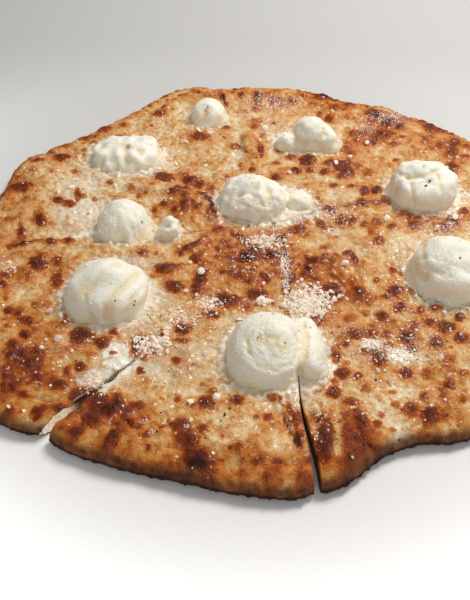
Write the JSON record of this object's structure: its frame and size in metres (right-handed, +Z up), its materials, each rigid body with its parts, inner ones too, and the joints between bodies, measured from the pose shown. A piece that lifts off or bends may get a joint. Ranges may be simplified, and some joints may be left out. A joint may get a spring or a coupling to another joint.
{
  "type": "three cheese pizza",
  "caption": "Round white pizza cut into wedges that lie together, with melted cheese, spoonfuls of ricotta and grated crumbs, resting flat.",
  "frame": {"origin": "middle of the whole plan, at the flat underside", "axes": "+Z up through the thickness, +Y away from the viewer of the picture, +X to the viewer's right"},
  "size_m": [0.3654, 0.37, 0.034],
  "materials": {
    "crust": "baked dough, golden to dark brown, dry and slightly grainy",
    "melted_cheese": "melted cheese, pale cream to golden with dark brown blisters, slightly oily",
    "ricotta": "fresh ricotta, off-white, moist and finely grained"
  },
  "bodies": {
    "root": {"crust_1": "crust", "crust_2": "crust", "crust_3": "crust", "crust_4": "crust", "crust_5": "crust", "crust_6": "crust", "crust_7": "crust", "crust_8": "crust", "cheese_1": "melted_cheese", "cheese_2": "melted_cheese", "cheese_3": "melted_cheese", "cheese_4": "melted_cheese", "cheese_5": "melted_cheese", "cheese_6": "melted_cheese", "cheese_7": "melted_cheese", "cheese_8": "melted_cheese", "ricotta_1": "ricotta", "ricotta_2": "ricotta", "ricotta_3": "ricotta", "ricotta_4": "ricotta", "ricotta_5": "ricotta", "ricotta_6": "ricotta", "ricotta_7": "ricotta", "ricotta_8": "ricotta", "ricotta_9": "ricotta", "small_curd": "ricotta"}
  },
  "joints": []
}
